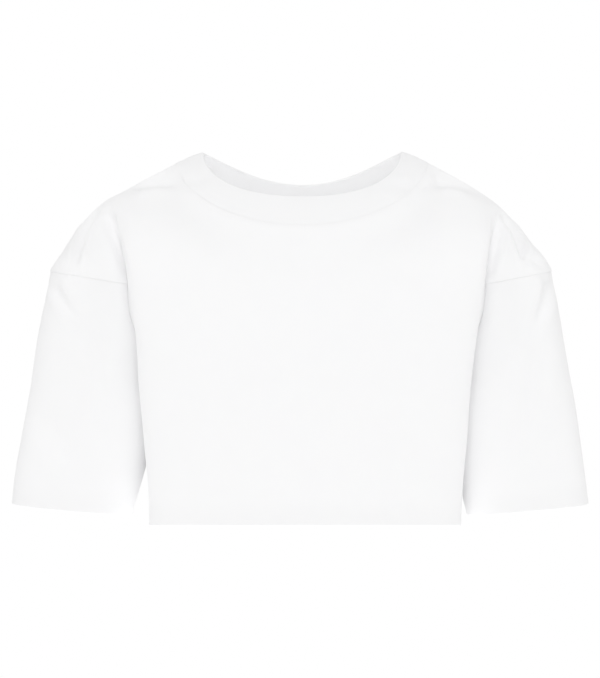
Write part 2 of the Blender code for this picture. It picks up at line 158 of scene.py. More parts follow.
def smooth(knots, values, place):
    """The value, at one place or more, of a smooth curve through a table's values."""
    knots = np.asarray(knots, float)
    values = np.asarray(values, float)
    place = np.asarray(place, float)
    slopes = np.gradient(values, knots)
    span = np.clip(np.searchsorted(knots, place, side="right") - 1, 0, len(knots) - 2)
    step = knots[span + 1] - knots[span]
    t = (place - knots[span]) / step
    rise = t * t * (3 - 2 * t)
    start_pull = t * (1 - t) ** 2 * step * slopes[span]
    end_pull = t * t * (t - 1) * step * slopes[span + 1]
    return values[span] * (1 - rise) + values[span + 1] * rise + start_pull + end_pull


def read(sizes, name, row):
    """A column of a table, at a row that need not be whole."""
    return float(smooth(np.arange(len(sizes[name])), sizes[name], row))


def along(points, shares):
    """The points that stand at these shares of a line's length."""
    lengths = np.linalg.norm(np.diff(points, axis=0), axis=1)
    gone = np.concatenate(([0.0], np.cumsum(lengths))) / lengths.sum()
    return np.stack([np.interp(shares, gone, points[:, axis]) for axis in range(3)], axis=1)


def along_both(first, second, shares):
    """The same on two lines that follow each other: shares from 1 to 2 are on the second."""
    return np.concatenate([along(first, shares[shares <= 1]), along(second, shares[shares > 1] - 1)])


def bow(start, start_pull, end, end_pull, t):
    """A curve between two points that leaves and arrives along its two pulls."""
    return (start * (1 + 2 * t) * (1 - t) ** 2 + start_pull * t * (1 - t) ** 2
            + end * t * t * (3 - 2 * t) + end_pull * t * t * (t - 1))


def unit(vectors):
    """The same directions, each one long."""
    return vectors / np.maximum(np.linalg.norm(vectors, axis=-1, keepdims=True), 1e-12)


def steps(start, end, count):
    """Evenly spaced values that leave out the first."""
    return np.linspace(start, end, count + 1)[1:]


def turns_round(count):
    """Evenly spaced angles, once all the way round."""
    return np.linspace(0, 2 * math.pi, count + 1)[:-1]


# %% [markdown]
# ## How fine the sheets are
#
# A crease in heavy jersey is 10 to 20 mm wide, so the sheets have a point every 3 mm or so. Columns that run
# round the garment keep the same shares of every section, which stops them from sliding sideways.

# %% Columns and rows
NECK_COLUMNS = 38       # of half a panel, along the neck seam
RIM_COLUMNS = 18        # from there to the rim
WALL_COLUMNS = 14       # from the rim to the armhole or the side seam
INNER_COLUMNS = 20      # of half a sleeve, from the crease or the sleeve's own seam to the crest
OUTER_COLUMNS = 28      # from the crest to the sleeve's outer edge
NECK_SHARE = 0.66       # share of the body's front or back that hangs from the neck seam
RIM_START = 0.88        # share of the shoulder seam, up to the crease, that hangs inside the rim
YOKE_ROWS = 36          # from the neck and shoulder seams down to the first row of the tables
ARMHOLE_ROWS = 40       # from there to the underarm, closer together at its end
LOWER_ROWS = 54         # from the underarm to the hem or the cuff
LAST_ROW = len(BODY["drop"]) - 1
ROW_CROWDING = 1.2      # above 1, the rows of the armhole draw together at the underarm
SAMPLES = 80            # points that a curve is worked out at before its columns are spaced on it

body_shares = np.concatenate([[0.0], steps(0, NECK_SHARE, NECK_COLUMNS), steps(NECK_SHARE, 1, RIM_COLUMNS),
                              steps(1, 2, WALL_COLUMNS)])
sleeve_shares = np.concatenate([[0.0], steps(0, 1, INNER_COLUMNS), steps(1, 2, OUTER_COLUMNS)])
armhole_rows = UNDERARM * (1 - (1 - np.linspace(0, 1, ARMHOLE_ROWS + 1)) ** ROW_CROWDING)
levels = np.concatenate([armhole_rows, steps(UNDERARM, LAST_ROW, LOWER_ROWS)])
print("levels:", len(levels), "columns of half a panel:", len(body_shares))

# %% [markdown]
# ## The lines that the pieces share
#
# Two pieces meet along a seam, so both must be worked out from the same line: the neck seam, the shoulder
# seam, and the armhole seam, which here dives into the crease between arm and body.

# %% Neck, shoulder and armhole lines

def neck_ring(level, side, face, angles):
    """A quarter of the neck seam (level 0) or the neck's edge (level 1): angle 0 is the middle."""
    sizes = {name: column[level] for name, column in NECK[face].items()}
    side_drop = sizes["side_drop"]
    power = 2 / sizes["squareness"]
    forward = np.abs(np.cos(angles)) ** power
    forward[np.abs(np.cos(angles)) < 1e-9] = 0.0
    x = SIDES[side] * sizes["half_width"] * np.sin(angles) ** power
    y = FACES[face] * sizes["depth"] * forward
    z = -side_drop - (sizes["middle_drop"] - side_drop) * forward ** sizes["arch"]
    return np.stack([x, y, z], axis=1)


def shoulder_line(side, start_reach, end_reach, shares):
    """The shoulder seam between two reaches, which are those of the left side."""
    neck_end = SHOULDER["reach"][0]
    stretch = (SHOULDER_END[side] - neck_end) / (SHOULDER_END["left"] - neck_end)
    reach = np.linspace(start_reach, end_reach, SAMPLES)
    drop = smooth(SHOULDER["reach"], SHOULDER[side], reach)
    x = SIDES[side] * (neck_end + (reach - neck_end) * stretch)
    return along(np.stack([x, np.zeros_like(x), -drop], axis=1), shares)


def crease_point(side, face, row):
    """The armhole seam in the crease, from the shoulder's lobe down to the underarm."""
    start_reach, start_depth = CREASE[side, face]
    end_reach = read(BODY, side + "_side", UNDERARM)
    left = max(0.0, 1 - (row / UNDERARM) ** CREASE_HOLD) ** CREASE_CLOSE
    reach = end_reach + (start_reach - end_reach) * left ** CREASE_TURN
    return reach, start_depth * left, read(BODY, "drop", row)


# %% [markdown]
# ## Sections of the body and the sleeves
#
# Cut level, the body is a flattened ring: a broad front, a rounded corner, and a side that tucks in behind
# the sleeve. A superellipse gives the front its flatness, and an S-curve the side. The sleeve's section is
# two quarter rounds that meet at its crest. Above the underarm it is open towards the body, and both end on
# the armhole seam.

# %% Section of the body

def body_section(side, face, row, shares):
    """Half of the body's section: from the middle, round the rim, to the armhole or the side seam."""
    rim = read(BODY, side + "_rim", row)
    depth = read(BODY, face, row)
    rim_depth = read(BODY, face + "_rim", row)
    power = 2 / read(BODY, "squareness", row)
    if row < UNDERARM:
        edge_reach, edge_depth, drop = crease_point(side, face, row)
    else:
        edge_reach, edge_depth, drop = read(BODY, side + "_side", row), 0.0, read(BODY, "drop", row)
    turn = np.linspace(0, math.pi / 2, SAMPLES)
    front_x = rim * np.sin(turn) ** power
    front_y = rim_depth + (depth - rim_depth) * np.maximum(np.cos(turn), 0) ** power
    t = np.linspace(0, 1, SAMPLES)
    wall_x = rim + (edge_reach - rim) * (1 - np.cos(math.pi * t ** SIDE_TUCK)) / 2
    wall_y = rim_depth + (edge_depth - rim_depth) * t
    hang = HEM_HANG * max(0.0, row - HANG_ROW) ** 2
    lines = []
    for x, y in ((front_x, front_y), (wall_x, wall_y)):
        z = -drop - hang * (1 - y / depth)
        lines.append(np.stack([SIDES[side] * x, FACES[face] * y, z], axis=1))
    return along_both(*lines, shares)


# %% Section of a sleeve

def sleeve_section(side, face, row, shares):
    """Half of a sleeve's section: from the crease, or the sleeve's own seam, round to its outer edge."""
    if row < UNDERARM:
        inner, inner_depth, inner_drop = crease_point(side, face, row)
    else:
        inner, inner_depth = read(SLEEVE, side + "_inner", row), 0.0
        inner_drop = read(SLEEVE, "inner_drop", row)
    outer = read(SLEEVE, side + "_outer", row)
    outer_drop = read(SLEEVE, "drop", row)
    crest = read(SLEEVE, side + "_crest", row)
    depth = read(SLEEVE_ROUND, face, row)
    squareness = read(SLEEVE_ROUND, "inner_squareness", row)
    first_turn = math.asin((inner_depth / depth) ** (squareness / 2))
    turn = np.linspace(first_turn, math.pi / 2, SAMPLES)
    in_reach = crest - (crest - inner) * (np.cos(turn) / math.cos(first_turn)) ** (2 / squareness)
    in_depth = depth * np.sin(turn) ** (2 / squareness)
    power = 2 / read(SLEEVE_ROUND, "outer_squareness", row)
    turn = np.linspace(math.pi / 2, 0, SAMPLES)
    out_reach = crest + (outer - crest) * np.cos(turn) ** power
    out_depth = depth * np.maximum(np.sin(turn), 0) ** power
    lines = []
    for reach, y in ((in_reach, in_depth), (out_reach, out_depth)):
        drop = outer_drop + (inner_drop - outer_drop) * (outer - reach) / (outer - inner)
        lines.append(np.stack([SIDES[side] * reach, FACES[face] * y, -drop], axis=1))
    return along_both(*lines, shares)


# %% [markdown]
# ## The yoke
#
# Above the first level there is no ring to measure, because the cloth hangs from the neck and the shoulder
# seam. Each column is a bow there: it leaves its seam in the direction that the cloth is pulled, and arrives
# at the first level in the direction of the levels below. A second patch, the lobe, drops over the arm.

# %% Bows from the seams down to the first level
NEXT_ROW = 0.2          # the row at which the direction of the levels below is read
HEADING_RISE = 1.2      # the higher, the nearer to the corner the panels start to turn outwards
HEADING_FADE = 2        # the higher, the sooner that is over on the shoulder seam
STEEPNESS_FADE = 1.5    # the higher, the narrower the steep part under the middle of the band
CORNER_REACH = 11.0     # columns on either side of the corner that the smoothing reaches
CORNER_STEPS = 80       # how often it is repeated
CORNER_TOP = 0.12       # share of the yoke's height, at the seam, over which it sets in
CORNER_BOTTOM = 0.20    # the same at the first level


def leaving(side, face, top, heading, steepness):
    """How a panel leaves its top edge: turned sideways by heading, and down by its steepness."""
    forward = unit(np.stack([np.zeros(len(top)), np.full(len(top), FACES[face]), -steepness], axis=1))
    slope = (SHOULDER[side][1] - SHOULDER[side][0]) / (SHOULDER["reach"][1] - SHOULDER["reach"][0])
    sideways = unit(np.array([[SIDES[side], 0.0, -slope]]))
    return unit(forward * np.cos(heading)[:, None] + sideways * np.sin(heading)[:, None])


def yoke_rows(side, face, section, shares, top, heading, steepness):
    """Rows from a top edge down to a section's first row, each a line of points across the columns."""
    start = leaving(side, face, top, heading, steepness)
    bottom = section(side, face, 0, shares)
    down = unit(section(side, face, NEXT_ROW, shares) - bottom)
    length = np.linalg.norm(bottom - top, axis=1, keepdims=True) * YOKE_SLACK
    return [bow(top, start * length, bottom, down * length, t) for t in np.linspace(0, 1, YOKE_ROWS + 1)]


def ease_corner(rows):
    """Smooths the yoke below the corner of the neck and the shoulder seam; its edges stay as they are."""
    points = np.array(rows)
    window = np.exp(-((np.arange(points.shape[1]) - NECK_COLUMNS) / CORNER_REACH) ** 4)
    t = np.linspace(0, 1, len(points))
    hold = np.clip(t / CORNER_TOP, 0, 1) * np.clip((1 - t) / CORNER_BOTTOM, 0, 1)
    weight = (hold[:, None] * window)[:, 1:-1, None]
    for step in range(CORNER_STEPS):
        points[:, 1:-1] += weight * ((points[:, :-2] + points[:, 2:]) / 2 - points[:, 1:-1]) / 2
    return list(points)


def yoke_field(side, face):
    """Half the yoke: from the neck and shoulder seams to the body's first row."""
    angles = np.linspace(0, math.pi / 2, NECK_COLUMNS + 1)
    neck = along(neck_ring(0, side, face, np.linspace(0, math.pi / 2, SAMPLES)), angles / angles[-1])
    beyond = np.concatenate([steps(0, RIM_START, RIM_COLUMNS), steps(RIM_START, 1, WALL_COLUMNS)])
    top = np.concatenate([neck, shoulder_line(side, SHOULDER["reach"][0], CREASE_START, beyond)])
    fading = (0.5 + 0.5 * np.cos(math.pi * beyond)) ** HEADING_FADE
    heading = NECK_CORNER * np.concatenate([np.sin(angles) ** HEADING_RISE, fading])
    steepness = np.full(len(top), SEAM_SLOPE)
    steepness[:len(angles)] += PANEL_STEEPNESS[face] * np.cos(angles) ** STEEPNESS_FADE
    return ease_corner(yoke_rows(side, face, body_section, body_shares, top, heading, steepness))


def yoke_lobe(side, face):
    """The lobe over the arm: from the shoulder seam to the top of the sleeve."""
    shares = np.linspace(0, 1, len(sleeve_shares))
    top = shoulder_line(side, CREASE_START, SHOULDER["reach"][-1], shares)
    steepness = np.full(len(top), SEAM_SLOPE)
    return yoke_rows(side, face, sleeve_section, sleeve_shares, top, np.zeros(len(top)), steepness)


# %% [markdown]
# ## Sheets
#
# A sheet gathers the points and faces of one cut piece before the cloth gets its thickness. Points that lie
# in the same place are one point, which closes the sheet along its middle. Every face also keeps its place
# on the flat cloth, in metres, so that the knit later runs straight down each piece.

# %% An open sheet of cloth

class Sheet:
    """One cut piece as a sheet without thickness."""

    def __init__(self, name):
        self.name = name
        self.points = []
        self.faces = []
        self.flat = []
        self.index = {}

    def point(self, place):
        key = tuple(round(float(value), 6) for value in place)
        if key not in self.index:
            self.index[key] = len(self.points)
            self.points.append(np.array(place, float))
        return self.index[key]

    def grid(self, rows, flip, above=False):
        """Faces between rows of points. A corner where two points are one becomes a triangle."""
        rows = np.array(rows)
        across = np.linalg.norm(np.diff(rows, axis=1), axis=2).mean(axis=0).cumsum()
        down = np.linalg.norm(np.diff(rows, axis=0), axis=2).mean(axis=1).cumsum()
        across = np.concatenate(([0.0], across))
        down = np.concatenate(([0.0], down)) - (down[-1] if above else 0.0)
        ids = [[self.point(place) for place in row] for row in rows]
        for row in range(len(ids) - 1):
            for column in range(len(ids[0]) - 1):
                corners = [(row, column), (row, column + 1), (row + 1, column + 1), (row + 1, column)]
                ring = [(ids[r][c], (across[c], -down[r])) for r, c in corners]
                ring = [pair for place, pair in enumerate(ring) if pair[0] != ring[place - 1][0]]
                if len(ring) > 2:
                    ring = ring[::-1] if flip else ring
                    self.faces.append([number for number, _ in ring])
                    self.flat.append([place for _, place in ring])

    def normals(self, points):
        """The outward direction at each point."""
        total = np.zeros_like(points)
        for face in self.faces:
            corners = points[face]
            area = np.cross(corners[1] - corners[0], corners[2] - corners[0])
            if len(face) == 4:
                area = area + np.cross(corners[2] - corners[0], corners[3] - corners[0])
            total[face] += area
        return unit(total)

    def edges(self):
        """The sheet's open edges, each as a pair of points with the cloth on the same hand."""
        pairs = {(a, b) for face in self.faces for a, b in zip(face, face[1:] + face[:1])}
        return sorted((a, b) for a, b in pairs if (b, a) not in pairs)


# %% The four cut sheets

def panel(face):
    """The front or the back, from the neck and shoulder seams to the hem."""
    sheet = Sheet(face)
    for side in SIDES:
        flip = SIDES[side] * FACES[face] < 0
        sheet.grid(yoke_field(side, face), flip, above=True)
        sheet.grid(yoke_lobe(side, face), flip, above=True)
        sheet.grid([body_section(side, face, row, body_shares) for row in levels], flip)
    return sheet


def sleeve(side):
    """A sleeve, from the armhole to the cuff: open rows above the underarm, and closed ones below."""
    sheet = Sheet("sleeve_" + side)
    for face in FACES:
        rows = [sleeve_section(side, face, row, sleeve_shares) for row in levels]
        sheet.grid(rows, SIDES[side] * FACES[face] < 0)
    return sheet


sheets = [panel(face) for face in FACES] + [sleeve(side) for side in SIDES]
for sheet in sheets:
    print(sheet.name, len(sheet.points), "points")

# %% [markdown]
# ## Folds
#
# Heavy jersey falls in few, soft folds: a deep crease between arm and body, drag lines that run from the
# shoulder towards the crease, and slack that gathers where the lobe rolls over the arm. Sculpting them by
# hand would work once. A row for each fold is easier to move, and gives both sides of the shirt folds of the
# same kind that are never the same. Each is a bent line on one side of the shirt, and presses the cloth in
# along it. Cloth that is pressed in bulges beside the line, so each trough has a low ridge at either hand.

# %% The table of folds
# Where each fold starts, bends and ends: how far out, or for a side view how far back, and how far down.
# The soft ends are shares of its length. A negative depth stands out.
VIEWS = {"front": (0, 1, -1.0), "back": (0, 1, 1.0), "left": (1, 0, -1.0), "right": (1, 0, 1.0)}
FOLDS = {
    # out0,   down0, out1,   down1, out2,   down2, width,  depth,  soft0, soft1
    "front": [
        # the lobe and the crease at the left
        (-0.210, 0.056, -0.2255, 0.086, -0.2300, 0.125, 0.0038, 0.0080, 0.25, 0.22),
        (-0.231, 0.127, -0.233, 0.135, -0.237, 0.145, 0.0040, 0.0024, 0.10, 0.60),
        (-0.206, 0.064, -0.191, 0.091, -0.180, 0.131, 0.0048, 0.0030, 0.25, 0.10),
        (-0.180, 0.137, -0.176, 0.165, -0.172, 0.205, 0.0048, 0.0008, 0.10, 0.50),
        (-0.199, 0.060, -0.187, 0.076, -0.173, 0.097, 0.0055, 0.0018, 0.30, 0.50),
        # the same at the right
        (0.206, 0.063, 0.220, 0.087, 0.2255, 0.118, 0.0038, 0.0078, 0.25, 0.22),
        (0.207, 0.069, 0.198, 0.101, 0.190, 0.131, 0.0048, 0.0030, 0.25, 0.10),
        (0.189, 0.138, 0.186, 0.167, 0.181, 0.206, 0.0048, 0.0008, 0.10, 0.50),
        (0.228, 0.111, 0.238, 0.116, 0.249, 0.123, 0.0040, 0.0026, 0.40, 0.30),
        # below the armhole seam at the left
        (-0.254, 0.139, -0.243, 0.157, -0.224, 0.178, 0.0048, 0.0048, 0.15, 0.45),
        (-0.232, 0.160, -0.211, 0.201, -0.196, 0.236, 0.0100, 0.0032, 0.40, 0.50),
        (-0.267, 0.257, -0.249, 0.297, -0.226, 0.338, 0.0120, 0.0036, 0.45, 0.40),
        (-0.203, 0.201, -0.204, 0.234, -0.202, 0.269, 0.0060, 0.0010, 0.40, 0.50),
        # below the armhole seam at the right
        (0.252, 0.135, 0.249, 0.157, 0.234, 0.190, 0.0052, 0.0052, 0.15, 0.35),
        (0.234, 0.187, 0.231, 0.257, 0.236, 0.336, 0.0105, 0.0038, 0.25, 0.40),
        (0.244, 0.130, 0.246, 0.134, 0.249, 0.139, 0.0030, 0.0012, 0.40, 0.40),
        # the hollows between the neckband and the shoulder
        (-0.178, 0.035, -0.152, 0.028, -0.120, 0.032, 0.0070, 0.0095, 0.20, 0.35),
        (0.129, 0.037, 0.156, 0.030, 0.192, 0.046, 0.0066, 0.0085, 0.30, 0.45),
        (0.127, 0.016, 0.140, 0.023, 0.152, 0.031, 0.0045, 0.0030, 0.40, 0.40),
        (-0.117, 0.038, -0.106, 0.030, -0.094, 0.024, 0.0060, 0.0018, 0.30, 0.40),
        (0.112, 0.040, 0.100, 0.038, 0.090, 0.032, 0.0060, 0.0018, 0.30, 0.40),
        # the front, above the hem
        (0.079, 0.300, 0.083, 0.345, 0.084, 0.398, 0.0110, 0.0026, 0.60, 0.05),
        (-0.118, 0.330, -0.121, 0.365, -0.122, 0.398, 0.0100, 0.0007, 0.60, 0.05),
        (-0.060, 0.110, -0.085, 0.150, -0.070, 0.200, 0.0160, 0.0006, 0.45, 0.45),
        (0.070, 0.100, 0.103, 0.145, 0.130, 0.200, 0.0160, 0.0006, 0.45, 0.45),
    ],
    "back": [
        # lobes, sleeves, shoulders and hem
        (-0.218, 0.064, -0.227, 0.100, -0.231, 0.130, 0.0051, 0.0053, 0.35, 0.20),
        (0.212, 0.064, 0.222, 0.096, 0.227, 0.126, 0.0051, 0.0056, 0.35, 0.20),
        (-0.255, 0.138, -0.246, 0.162, -0.226, 0.184, 0.0051, 0.0043, 0.25, 0.45),
        (0.250, 0.136, 0.242, 0.160, 0.224, 0.194, 0.0051, 0.0040, 0.25, 0.45),
        (-0.230, 0.182, -0.224, 0.260, -0.238, 0.336, 0.0110, 0.0027, 0.30, 0.40),
        (0.236, 0.200, 0.224, 0.250, 0.240, 0.335, 0.0120, 0.0024, 0.30, 0.40),
        (-0.152, 0.036, -0.136, 0.035, -0.118, 0.045, 0.0055, 0.0047, 0.35, 0.35),
        (0.124, 0.042, 0.148, 0.036, 0.180, 0.050, 0.0051, 0.0043, 0.35, 0.45),
        (-0.110, 0.088, -0.150, 0.104, -0.168, 0.142, 0.0100, 0.0021, 0.45, 0.40),
        (0.118, 0.084, 0.150, 0.108, 0.170, 0.150, 0.0100, 0.0023, 0.45, 0.40),
        (-0.068, 0.240, -0.076, 0.330, -0.080, 0.398, 0.0140, 0.0022, 0.60, 0.05),
        (0.088, 0.230, 0.100, 0.320, 0.098, 0.398, 0.0130, 0.0020, 0.60, 0.05),
        (0.014, 0.300, 0.002, 0.350, -0.004, 0.398, 0.0120, 0.0018, 0.60, 0.05),
    ],
    "left": [
        # the outsides of the sleeves, from front to back
        (-0.020, 0.140, -0.006, 0.200, -0.016, 0.300, 0.0090, 0.0016, 0.30, 0.45),
        (0.026, 0.155, 0.032, 0.230, 0.020, 0.335, 0.0100, 0.0018, 0.40, 0.40),
    ],
    "right": [
        (-0.014, 0.135, 0.002, 0.190, 0.012, 0.285, 0.0090, 0.0018, 0.30, 0.45),
        (0.032, 0.200, 0.024, 0.280, 0.030, 0.360, 0.0100, 0.0014, 0.40, 0.30),
    ]}
RIDGE = 0.30            # height of the ridges beside a trough, over its depth
RIDGE_AWAY = 2.0        # how far out they lie, over the trough's width
RIDGE_WIDTH = 0.8       # how wide they are, over the same
FOLD_STEPS = 24         # straight pieces of a fold's line
FOLD_ENDS = 0.15        # share of a fold's depth that is left at its very ends
FOLD_FACING = 0.35      # where the normal points towards the view by less than this, a fold fades


# %% Press the folds in

def bent_line(fold):
    """The middle line of a fold, as points of a curve through its three places."""
    t = np.linspace(0, 1, FOLD_STEPS + 1)[:, None]
    start, bend, end = (np.array([fold[2 * k], -fold[2 * k + 1]]) for k in range(3))
    return start * (1 - t) * (1 - 2 * t) + bend * 4 * t * (1 - t) + end * t * (2 * t - 1)


def fold_shift(points, normals):
    """How far the folds press the cloth in at each point."""
    shift = np.zeros(len(points))
    for view, fold in ((view, fold) for view, folds in FOLDS.items() for fold in folds):
        axis, gate, sign = VIEWS[view]
        width, depth, soft_start, soft_end = fold[6:]
        facing = np.clip(normals[:, gate] * sign / FOLD_FACING, 0, 1)
        flat = points[:, [axis, 2]]
        line = bent_line(fold)
        nearest = np.full(len(points), np.inf)
        share = np.zeros(len(points))
        for piece, (a, b) in enumerate(zip(line, line[1:])):
            t = np.clip((flat - a) @ (b - a) / ((b - a) @ (b - a)), 0, 1)
            away = np.linalg.norm(flat - a - t[:, None] * (b - a), axis=1)
            closer = away < nearest
            nearest[closer] = away[closer]
            share[closer] = (piece + t[closer]) / FOLD_STEPS
        rise = np.clip(share / soft_start, 0, 1) * np.clip((1 - share) / soft_end, 0, 1)
        strength = depth * (FOLD_ENDS + (1 - FOLD_ENDS) * rise * rise * (3 - 2 * rise)) * facing
        u = nearest / width
        shift += strength * (np.exp(-u ** 2) - RIDGE * np.exp(-((u - RIDGE_AWAY) / RIDGE_WIDTH) ** 2))
    return shift


# %% [markdown]
# ## Slack
#
# Between the folds real cloth is never a perfect surface: it swells and sinks by a fraction of a millimetre
# over a hand's width. A few crossing waves with lengths that don't divide each other are enough for that.

# %% Slack of the cloth
SLACK = table(
    "along_x along_y along_z phase height",
    (31.0,   12.0,   17.0,   0.4,  0.00045),
    (-19.0,  24.0,   41.0,   2.1,  0.00040),
    (67.0,   35.0,   -29.0,  1.3,  0.00020),
    (53.0,   -61.0,  83.0,   3.9,  0.00014))


def slack(points):
    """How far the loose cloth sinks at each point."""
    total = np.zeros(len(points))
    for x, y, z, phase, height in zip(*SLACK.values()):
        total += height * np.sin(points @ np.array([x, y, z]) + phase)
    return total


# %% [markdown]
# ## Seams that stand up a little
#
# Inside a seam the two raw edges lie to one side, under the front or the back. The cloth over them stands up
# by about their thickness, and a sleeve on the other side does not. That small step is what shows a seam on
# white cloth, more than any line of thread. At the neck the band stands up with the panels, and meets them
# level.

# %% Lines of the seams
SAME_PLACE = 1e-6       # places nearer to each other than this are one
LEVEL_ERROR = 0.001     # how exactly a point has to meet a level
SEAM_MARKS = 6          # places that stand for each straight piece of a seam


def is_hem(place):
    """Whether a point of an open edge lies on the hem or a cuff, and not on a seam."""
    return -place[2] > SLEEVE["drop"][-1] - LEVEL_ERROR


def chains(pairs):
    """Joins pairs of points, end to end, into lines of points."""
    after = dict(pairs)
    lines = []
    while after:
        ends = set(after.values())
        heads = [start for start in after if start not in ends]
        here = min(heads) if heads else min(after)
        line = [here]
        while here in after:
            here = after.pop(here)
            line.append(here)
        lines.append(line)
    return lines


def is_neck(place):
    """Whether a point of an open edge lies on the seam of the neckband."""
    below = -place[2] - NECK["front"]["middle_drop"][0]
    beyond = abs(place[0]) - NECK["front"]["half_width"][0]
    return below < SAME_PLACE and beyond < SAME_PLACE


def open_edges(sheet, hem):
    """The open edges on the hem or a cuff, or else those in a seam."""
    return [pair for pair in sheet.edges() if is_hem(sheet.points[pair[0]]) == hem]


def seam_lines(sheet):
    """The seams whose turned edges lie on this sheet, as lines of its points."""
    points = np.array(sheet.points)
    middle = np.abs(points[:, 1]) < SAME_PLACE
    if sheet.name not in FACES:
        side = sheet.name.split("_")[-1]
        inside = np.abs(points[:, 0]) < read(SLEEVE, side + "_crest", UNDERARM)
        own = np.flatnonzero(middle & inside & (-points[:, 2] > BODY["drop"][UNDERARM] - LEVEL_ERROR))
        return [list(own[np.argsort(-points[own, 2])])]
    pairs = open_edges(sheet, hem=False)
    if sheet.name == "front":
        pairs = [(a, b) for a, b in pairs if not (middle[a] and middle[b])]
    return chains(pairs)


def seam_distance(points, lines):
    """How far each point is from the nearest of the lines."""
    marks = np.concatenate([points[a] + (points[b] - points[a]) * np.linspace(0, 1, SEAM_MARKS)[:, None]
                            for line in lines for a, b in zip(line, line[1:])])
    tree = KDTree(len(marks))
    for number, mark in enumerate(marks):
        tree.insert(mark, number)
    tree.balance()
    return np.array([tree.find(point)[2] for point in points])


# %% How far the cloth stands up beside a seam
SWELL = 0.0006          # over the two edges inside
ALLOWANCE = 0.0060      # how far those edges reach from the seam


def swell(sheet):
    """How far the cloth stands up at each point over the turned edges of its seams."""
    points = np.array(sheet.points)
    if sheet.name not in FACES:
        return np.zeros(len(points))
    lines = chains(open_edges(sheet, hem=False))
    return SWELL * np.exp(-(seam_distance(points, lines) / ALLOWANCE) ** 4)


# %% One normal where sheets meet
SMOOTH = 0.6            # cosine of the widest angle to their mean at which sheets still make one surface


def share_normals(sheets):
    """Normals at each sheet's points, made one where sheets meet on a smooth surface."""
    found = {sheet.name: sheet.normals(np.array(sheet.points)) for sheet in sheets}
    meeting = {}
    for sheet in sheets:
        for key, number in sheet.index.items():
            meeting.setdefault(key, []).append((sheet.name, number))
    for places in meeting.values():
        group = np.array([found[name][number] for name, number in places])
        mean = unit(group.sum(axis=0))
        if len(places) > 1 and (group @ mean).min() > SMOOTH:
            for name, number in places:
                found[name][number] = mean
    return found


normals = share_normals(sheets)
for sheet in sheets:
    points = np.array(sheet.points)
    shift = fold_shift(points, normals[sheet.name]) + slack(points) - swell(sheet)
    sheet.folded = points - normals[sheet.name] * shift[:, None]
    print(sheet.name, "pressed in up to", round(shift.max() * 1000, 1), "mm")

# %% [markdown]
# ## From sheets to cloth
#
# Blender's Solidify modifier would give each sheet its wall, but leave square, cut edges. The edges of sewn
# jersey are rolled: a seam is a soft groove between two of them, and a hem is a fold. So the wall is made
# here, with a row of points that goes round each open edge. Near the hem and the cuffs the wall is two
# layers thick, because the cloth is turned up inside.

# %% Helpers for a wall of cloth
LIP_STEPS = 5           # points round a rolled edge
SECOND_LAYER = 0.8      # what a turned layer adds, pressed flat, over the thickness of one
TURNING_END = 0.003     # height over which the turned layer thins out at its top
SHORTEST_MITRE = 0.25   # keeps the way out of a very sharp corner from growing too long


def edge_directions(points, normals, edges):
    """The way out of the sheet at each point of its open edges."""
    inward = {}
    for a, b in edges:
        line = unit(points[b] - points[a])
        for corner in (a, b):
            inward.setdefault(corner, []).append(unit(np.cross(normals[corner], line)))
    return {corner: -(first + second) / max(SHORTEST_MITRE, 1 + first @ second)
            for corner, (first, second) in inward.items()}


def rolled_depth(turn, roll, thick):
    """How deep the rolled edge is at a turn: round for its roll at both corners, and flat between them."""
    if turn < math.pi / 2:
        return roll * (1 - math.cos(turn))
    return thick - roll * (1 + math.cos(turn))


def layers(sheet, points):
    """Thickness at each point: two layers where the cloth is turned up at the hem or the cuff."""
    outer = np.abs(points[:, 0])
    side = sheet.name.split("_")[-1]
    if side in SIDES:
        inner_x, outer_x = SLEEVE[side + "_inner"][-1], SLEEVE[side + "_outer"][-1]
        inner_z, outer_z = SLEEVE["inner_drop"][-1], SLEEVE["drop"][-1]
        edge = outer_z + (inner_z - outer_z) * (outer_x - outer) / (outer_x - inner_x)
    else:
        edge = np.full(len(points), BODY["drop"][-1])
    above = edge + points[:, 2]
    doubled = np.clip((TURNING - above) / TURNING_END, 0, 1)
    turned = np.exp(-(seam_distance(np.array(sheet.points), seam_lines(sheet)) / ALLOWANCE) ** 8)
    return CLOTH * (1 + SECOND_LAYER * np.maximum(doubled, turned))


def edge_roll(place, thick):
    """How far an open edge rolls in: a hem is a round fold, and the seam of the neckband stays square."""
    if is_hem(place):
        return thick / 2
    return 0.0 if is_neck(place) else SEAM_ROLL


# %% Make the walls

